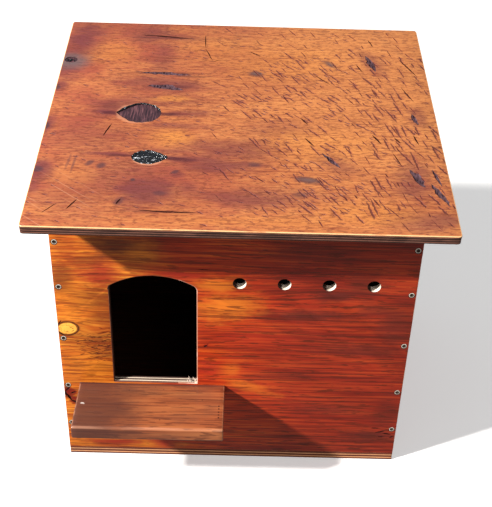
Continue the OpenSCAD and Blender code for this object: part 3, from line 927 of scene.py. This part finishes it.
def screw_places(node, axis):
    """The screws of a CAD node, each as its placement, at its head's face with z out of it, its length and
    its head's radius. axis is the line the screws lie along."""
    mesh = cad_mesh(node)
    left = set(mesh.verts)
    found = []
    while left:
        stack = [left.pop()]
        island = list(stack)
        while stack:
            for edge in stack.pop().link_edges:
                for vert in left.intersection(edge.verts):
                    left.remove(vert)
                    stack.append(vert)
                    island.append(vert)
        ends = []
        for out in (axis, -axis):
            reach = [vert.co.dot(out) for vert in island]
            end = [vert.co for vert, far in zip(island, reach) if far > max(reach) - AT_END]
            middle = sum(end, Vector()) / len(end)
            radius = max((co - middle).length for co in end)
            ends.append((radius, middle, out, max(reach) - min(reach)))
        radius, middle, out, length = max(ends, key=lambda end: end[0])
        place = Matrix.Translation(middle) @ out.to_track_quat("Z", "Y").to_matrix().to_4x4()
        found.append((place, length / MM, radius / MM))
    mesh.free()
    found.sort(key=lambda item: tuple(round(c, 4) for c in item[0].translation))
    turns = random.Random(node)
    return [(place @ Matrix.Rotation(turns.uniform(0, math.pi / 2), 4, "Z"), length, head)
            for place, length, head in found]


def heads(axis, *nodes):
    return [place.translation for node in nodes for place, _, _ in screw_places(node, axis)]


def screw_mesh(length, head):
    """A countersunk screw with a cross recess: bright rim, dark dished middle and dark recess, grooved shank.
    """
    sides = 20
    shank = head / 2
    bare = -length * 0.4
    pitch = length * 0.055
    rings = [(head * 0.02, -0.12), (head * 0.70, -0.12), (head * 0.78, 0.0), (head * 0.93, 0.0), (head, -0.2),
             (head, -0.35), (shank, -0.35 - shank * 1.05), (shank, bare)]
    for k in range(8):
        for radius, down in ((shank, 0.3), (shank * 0.72, 0.6), (shank, 0.95)):
            rings.append((radius, bare - pitch * (k + down)))
    rings += [(shank * 0.8, -length * 0.9), (head * 0.05, -length)]
    mesh = bmesh.new()
    faces = skin(mesh, [circle(radius, z, sides) for radius, z in reversed(rings)])
    for face in faces[-2 - 2 * sides:-2] + faces[-1:]:
        face.material_index = 1
    piece = new_object("screw", mesh, [ZINC, SCREW_DARK])
    cutter = bmesh.new()
    for long, wide in ((1.34, 0.40), (0.40, 1.34)):
        skin(cutter, [[(x * long * head * share, y * wide * head * share, z) for x, y in SQUARE]
                      for z, share in ((-head * 0.45, 0.6), (0.6, 1.0))])
    carve(piece, cutter, [SCREW_DARK], crossing=True)
    smooth_over(piece, 40)
    data = piece.data
    bpy.data.objects.remove(piece)
    return data


def add_screws(node, axis, body="box"):
    """Puts modelled screws in the stead of a CAD node's, at the same places and of the same size."""
    mesh = bmesh.new()
    for place, length, head in screw_places(node, axis):
        size = (round(length, 2), round(head, 2))
        if size not in SCREW_MESHES:
            SCREW_MESHES[size] = screw_mesh(*size)
        one = SCREW_MESHES[size].copy()
        one.transform(place)
        mesh.from_mesh(one)
        bpy.data.meshes.remove(one)
    low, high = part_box(node)
    centre = Matrix.Translation((low + high) / 2)
    bmesh.ops.transform(mesh, matrix=centre.inverted(), verts=mesh.verts)
    piece = new_object(node + "_zinc", mesh, [ZINC, SCREW_DARK], centre)
    smooth_over(piece, 40)
    dress(piece, node, body)


def sheet(name, place, outline, rows, rough, seed, materials):
    """A sheet of plywood; materials are for its face, its back, its edge and the arris around its face."""
    mesh = bmesh.new()
    faces = slab(mesh, outline, rows, -1, rough, seed)
    arris = len(faces) - 2 - ARRIS_BANDS * len(outline)
    for number, face in enumerate(faces[:-2]):
        face.material_index = 2 if number < arris else 3
    faces[-2].material_index = 1
    return new_object(name, mesh, materials, place)


def panel(name, place, face, screws=(), edge=EDGE):
    """One wall or the floor, in its CAD node's stead: outline, openings and screw holes come from the CAD."""
    ease, bite, rough = 0.6, 0.25, 0.12
    rng = random.Random(name)
    outer, *openings = face_loops(name, place)
    seed = rng.uniform(0, 50)
    rows = ply_rows(ease, bite, rng)
    materials = [face, INSIDE_PAINTED_SHADE, edge, WALL_ARRIS]
    piece = sheet(name + "_ply", place, eased(outer, 1.2, 5.0), rows, rough, seed, materials)
    for number, loop in enumerate(loop for loop in openings if loop_length(loop) > VENT_LENGTH):
        doorway = loop_length(loop) > DOOR_LENGTH
        soft = ease * (1.8 if doorway else 0.8)
        rows = [(-PLY_T - 1, soft, 0)] + ply_rows(soft, bite, rng) + [(1.0, soft, PLIES - 1)]
        middle = [sum(values) / len(loop) for values in zip(*loop)]
        outline = eased(loop, 1.0, 4.0, middle[1]) if doorway else eased(loop, 1.0, 1.6)
        cutter = bmesh.new()
        faces = slab(cutter, outline, rows, 1, rough, seed + number)
        if doorway:
            sill = min(vert.co.y for vert in cutter.verts)
            for item in faces:
                if min(vert.co.z for vert in item.verts) > -(soft + 0.1) * MM:
                    # the arris right of the doorway's middle is pale, worn wood and painted highlight; to the
                    # left and over the top it is dark, painted shade
                    worn = item.calc_center_median().x > (middle[0] + 30) * MM
                    item.material_index = 3 if worn else 4
                else:
                    # the jambs and the head take a dark copy of the raw edge, painted shade; the sill keeps
                    # the pale raw edge
                    jamb = max(vert.co.y for vert in item.verts) > sill + 3 * MM
                    item.material_index = 2 if jamb else 1
        carve(piece, cutter, [VENT_EDGE_LIGHT_AND_SHADE, RAW_EDGE, SHADED_JAMB, WORN_LIT_DOOR_ARRIS, SHADED_DOOR_ARRIS])
    if screws:
        cutter = bmesh.new()
        for centre in screws:
            local = (place.inverted() @ centre) / MM
            add_cone(cutter, local.x, local.y, COUNTERSINK)
        carve(piece, cutter, [CRACK])
    dress(piece, name)
    return piece


front_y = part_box("front_panel")[0].y
front_place = facing(X, Z, (0, front_y, 0))
back_place = facing(-X, Z, (0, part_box("back_panel")[1].y, 0))
left_place = facing(-Y, Z, (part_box("left_side_panel")[0].x, 0, 0))
right_place = facing(Y, Z, (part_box("right_side_panel")[1].x, 0, 0))
under_place = facing(X, -Y, (0, 0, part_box("floor_panel")[0].z))
front = panel("front_panel", front_place, FRONT_FACE,
              heads(Y, "front_left_screws", "front_right_screws"))
sheets = [
    front,
    panel("back_panel", back_place, WALL_FACE, heads(Y, "back_left_screws", "back_right_screws")),
    panel("left_side_panel", left_place, WALL_FACE),
    panel("right_side_panel", right_place, WALL_FACE),
    panel("floor_panel", under_place, WALL_FACE, heads(Z, "floor_screws"), FLOOR_EDGE),
]

cracks = bmesh.new()
for x, z, long, turn, wide, deep in FRONT_CRACKS:
    add_sliver(cracks, x, z, long, turn, wide, deep, 0, random.Random(x))
carve(front, cracks, [CRACK], crossing=True)
chip = bmesh.new()
add_cone(chip, -156.6, 287.5, ((-1.6, 0.6), (0.0, 2.2), (1.0, 2.6)))
carve(front, chip, [RAW_EDGE])


# ---------------------------------------------------------------- the shelf

def arc(x, y, radius, first, last, step):
    angles = map(math.radians, range(first, last - 1, -step))
    return [Vector((x + radius * math.cos(a), y + radius * math.sin(a))) for a in angles]


def add_shelf():
    """Solid timber with a rounded nose, softened ends and a slightly uneven front."""
    low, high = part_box("landing_shelf")
    width, depth, tall = (high - low) / MM
    top_r, low_r, end_r, step = 4.0, 3.0, 1.4, 6
    # the section from the wall, at x = 0, around the nose, and back; its flats are divided
    corners = [Vector((0, 0)), Vector((0, -tall)), *arc(low_r - depth, low_r - tall, low_r, 270, 180, 15),
               *arc(top_r - depth, -top_r, top_r, 180, 90, 9)]
    section = []
    for a, b in zip(corners, corners[1:] + corners[:1]):
        parts = max(1, round((b - a).length / step))
        section += [a.lerp(b, k / parts) for k in range(parts)]
    # (distance from an end, how much of the end's rounding is left there)
    stations = [(0, 1.0), (0.25, 0.55), (0.7, 0.2), (end_r, 0)]
    span = max(1, round(width / step))
    between = [(end_r + (width - 2 * end_r) * k / span, 0) for k in range(1, span)]
    rings = []
    for x, shrink in stations + between + [(width - far, share) for far, share in reversed(stations)]:
        ring = []
        for point in section:
            at = point.copy()
            if point.x < -0.01:
                wobble = noise.noise(Vector((x / 30, point.x / 12, point.y / 12))) * 0.18
                inset = end_r * shrink
                at.x += wobble + (inset if point.x < -depth / 2 else 0.0)
                at.y += wobble * 0.6 + (inset if point.y < -tall / 2 else -inset)
            ring.append((x - width / 2, at.x + depth / 2, min(at.y, 0.0)))
        rings.append(ring)
    mesh = bmesh.new()
    skin(mesh, reversed(rings))
    place = Matrix.Translation(((low.x + high.x) / 2, (low.y + high.y) / 2, high.z))
    piece = new_object("landing_shelf_timber", mesh, [timber("shelf_timber", width / 2, depth / 2)], place)
    smooth_over(piece, 35)
    dress(piece, "landing_shelf")


add_shelf()


# ---------------------------------------------------------------- the roof

def lens_outline(x, y, long, wide, blunt_left, blunt_right, seed):
    """A lens-shaped outline with ragged sides; a blunt end is round and a sharp one comes to a point."""
    points = []
    count = 40
    for side in (1, -1):
        for k in range(count):
            u = side * (2 * k / count - 1)
            power = blunt_right if u > 0 else blunt_left
            half = (1 - abs(u) ** power) ** (1.0 if power < 2.2 else 0.6)
            jag = 1 + 0.12 * noise.noise(Vector((u * 4, side * 3.0, seed)))
            points.append(Vector((x + u * long / 2, y - side * half * jag * wide / 2)))
    return points


def roof_piece():
    """The roof's sheet, with the wells of its openings and its gouges, cracks and random short checks."""
    rng = random.Random("roof")
    outline = eased(face_loops("roof_panel", roof_place)[0], 5.0, 4.0)
    rows = ply_rows(1.1, 0.35, rng)
    piece = sheet("roof_panel_ply", roof_place, outline, rows, 0.16, 3.0, [ROOF_FACE, INSIDE_PAINTED_SHADE, EDGE, ARRIS])

    wells = bmesh.new()
    knot_lens = lens_outline(*BLACK_KNOT, 2.4, 2.4, 7.0)
    for outline, deep in ((LARGE_LENS, 1.5), (SMALL_LENS, 1.5), (knot_lens, 0.9)):
        rows = [(-deep, 0.0, 0), (-deep * 0.5, 0.15, 1), (-0.1, 0.1, 2), (0.6, 0.35, 2)]
        floor = slab(wells, outline, rows, 1, 0.25, deep)[-2]
        floor.material_index = 1
    carve(piece, wells, [rim_varnish("rim_varnish"), inner_veneer("inner_veneer")])

    gouge, crack, check = 0, 1, 2
    cuts = bmesh.new()
    for x, y, long, turn, wide, deep in BIG_GOUGES:
        add_sliver(cuts, x, y, long, turn, wide * 1.25, deep, gouge, rng, floor_share=0.75)
    for x, y, long, turn, wide, deep, bow in STREAKS:
        add_sliver(cuts, x, y, long, turn, wide * 1.3, deep, gouge if wide > 4 else crack, rng, bow, 0.7)
    for x, y, long, turn, wide, deep in LONG_CRACKS:
        add_sliver(cuts, x, y, long, turn, wide * 1.5, deep, crack, rng)
    taken = [(x, y, long) for x, y, long, *_ in BIG_GOUGES + STREAKS + LONG_CRACKS]
    taken += [(*LARGE[:2], 70), (*SMALL[:2], 56)]
    most_tries, most_cuts = 6000, 150
    for _ in range(most_tries):
        if len(taken) == most_cuts:
            break
        x, y = rng.uniform(-40, 240), rng.uniform(-45, 385)
        density = noise.noise(Vector((x / 70, y / 70, 5.0))) + (x - 20) / 260
        if rng.random() > density + 0.25:
            continue
        long = rng.uniform(9, 26)
        if any(math.hypot(x - a, y - b) < (long + c) * 0.42 for a, b, c in taken):
            continue
        turn = -52 - 16 * (x / 240) + rng.uniform(-13, 13)
        add_sliver(cuts, x, y, long, turn, rng.uniform(1.1, 2.1), rng.uniform(0.4, 0.8), check, rng)
        taken.append((x, y, long))
    carve(piece, cuts, [GOUGE, CRACK, CHECK], crossing=True)
    dress(piece, "roof_panel", "roof")
    return piece


def add_bead(mesh, x, y, z, radius, rng):
    """Adds a flattened droplet to mesh."""
    for vert in bmesh.ops.create_icosphere(mesh, subdivisions=2, radius=radius * MM)["verts"]:
        stretch = 1 + 0.3 * noise.noise(vert.co / MM + Vector((x, y, 0)))
        vert.co = Vector((vert.co.x * stretch * rng.uniform(1.0, 1.02), vert.co.y * stretch, vert.co.z * 0.8))
        vert.co += Vector((x, y, z)) * MM


def add_rim_bead(mesh, outline, towards):
    """Adds the run of hardened varnish along the parts of an outline that face towards a direction."""
    runs = [[]]
    for i, point in enumerate(outline):
        along = (outline[(i + 1) % len(outline)] - outline[i - 1]).normalized()
        normal = Vector((along.y, -along.x))
        if normal.dot(towards) > -0.1:
            lump = noise.noise(Vector((point.x / 3, point.y / 3, 1.0)))
            runs[-1].append((point - normal * 0.35, normal, 0.75 + 0.9 * max(0.0, lump + 0.4)))
        elif runs[-1]:
            runs.append([])
    for run in runs:
        rings = []
        for number, (at, normal, radius) in enumerate(run):
            radius *= min(1.0, 0.3 + 0.35 * min(number, len(run) - 1 - number))
            rings.append([(*(at + normal * across), up - 0.35) for across, up, _ in circle(radius, 0.0, 8)])
        if len(rings) > 2:
            skin(mesh, reversed(rings))


def add_filler():
    """Glossy black lumps that fill the smaller opening and the knot, and beads on both openings' rims."""
    rng = random.Random("filler")
    centre = Vector(SMALL[:2])
    rings = [[(*point, -1.45) for point in SMALL_LENS]]
    for share in (1.0, 0.94, 0.82, 0.66, 0.48, 0.3, 0.14):
        ring = []
        for point in SMALL_LENS:
            at = centre + (point - centre) * share
            lump = noise.noise(Vector((at.x / 3.4, at.y / 2.6, 2.0))) * 0.5
            ring.append((*at, -0.85 + 0.35 * (1 - share) + lump * min(1, (1 - share) * 6)))
        rings.append(ring)
    mesh = bmesh.new()
    skin(mesh, rings)
    for _ in range(46):
        share, around = math.sqrt(rng.random()) * 0.86, rng.uniform(0, math.tau)
        x = SMALL[0] + share * math.cos(around) * SMALL[2] / 2 * 0.9
        y = SMALL[1] + share * math.sin(around) * SMALL[3] / 2 * (1 - 0.5 * abs(math.cos(around) * share))
        add_bead(mesh, x, y, -0.75, rng.uniform(0.7, 1.5), rng)
    x, y = BLACK_KNOT[:2]
    for _ in range(7):
        around = rng.uniform(0, math.tau)
        radius = rng.uniform(0.9, 1.6)
        add_bead(mesh, x + 5.0 * math.cos(around), y + 3.6 * math.sin(around), -0.8, radius, rng)
    add_bead(mesh, x, y, -1.0, 2.6, rng)
    add_rim_bead(mesh, SMALL_LENS, Vector((0.1, 1.0)))
    add_rim_bead(mesh, LARGE_LENS, Vector((0.2, 1.0)))
    resin = black_filler("black_filler")
    piece = new_object("roof_filler_resin", mesh, [resin], roof_place)
    fuse = piece.modifiers.new("fuse", "REMESH")
    fuse.mode = "VOXEL"
    fuse.voxel_size = 0.35 * MM
    bake(piece)
    piece.data.materials.clear()
    piece.data.materials.append(resin)
    smooth_over(piece, 70)
    dress(piece, "roof_knot_filler", "roof")


roof_normal = largest_normal("roof_panel")
roof_level = max(vert.co.dot(roof_normal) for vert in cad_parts["roof_panel"].data.vertices)
above_front = Vector((0, front_y, (roof_level - roof_normal.y * front_y) / roof_normal.z))
roof_place = facing(X, roof_normal.cross(X), above_front)
ROOF_FACE = roof_face("roof_face")
LARGE_LENS = lens_outline(*LARGE, 1.7, 2.6, 1.0)
SMALL_LENS = lens_outline(*SMALL, 2.4, 1.6, 4.0)
sheets.append(roof_piece())
add_filler()


# ---------------------------------------------------------------- metal

for node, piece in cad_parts.items():
    if "hinge" in node and "screws" not in node:
        piece.data.materials.clear()
        piece.data.materials.append(STEEL)
for node in ("front_left_screws", "front_right_screws", "back_left_screws", "back_right_screws"):
    add_screws(node, Y)
add_screws("floor_screws", Z)
add_screws("shelf_screws", Y)
add_screws("hinge_wall_screws", Y)
add_screws("hinge_roof_screws", roof_normal, "roof")


# ---------------------------------------------------------------- splinters

def add_splinters():
    """Torn fibres at the right end of the doorway's sill."""
    rng = random.Random("splinters")
    mesh = bmesh.new()
    for _ in range(22):
        root = Vector((rng.uniform(-7.0, 5.5), rng.uniform(-4.5, 4.0), 0.0))
        lean = Vector((rng.uniform(-1, 1), rng.uniform(-0.9, 0.5), rng.uniform(0.2, 0.9))).normalized()
        side = lean.cross(Vector((0.3, 0.2, 1))).normalized()
        rise = lean.cross(side)
        long, wide = rng.uniform(3.5, 7.0), rng.uniform(0.8, 1.5)
        rings = []
        for t, share in ((0, 1.0), (0.4, 0.85), (0.8, 0.5), (1.0, 0.12)):
            at = root + lean * long * t + Vector((0, 0, -0.8 * t * t))
            rings.append([at + (side * a + rise * b * 0.5) * wide * share for a, b in SQUARE])
        skin(mesh, rings)
    sill = min(y for _, y in face_loops("front_panel", front_place)[1])
    place = Matrix.Translation((-53 * MM, front_y + 5 * MM, sill * MM))
    wood = torn_wood("splinter_wood", (0.45, 0.33, 0.26), (0.85, 0.72, 0.62))
    piece = new_object("sill_splinters", mesh, [wood], place)
    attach(piece, "box")


add_splinters()
for piece in sheets:
    smooth_over(piece, 24)

make_stage()
add_light("key_light", (2.0, 1.0, -1.5), 5.0, 0.24, 580, (1.0, 0.97, 0.92))
add_light("fill_light", (-0.8, 1.6, -1.3), 4.0, 2.4, 25)
add_camera()
bpy.context.scene.view_settings.view_transform = "Standard"
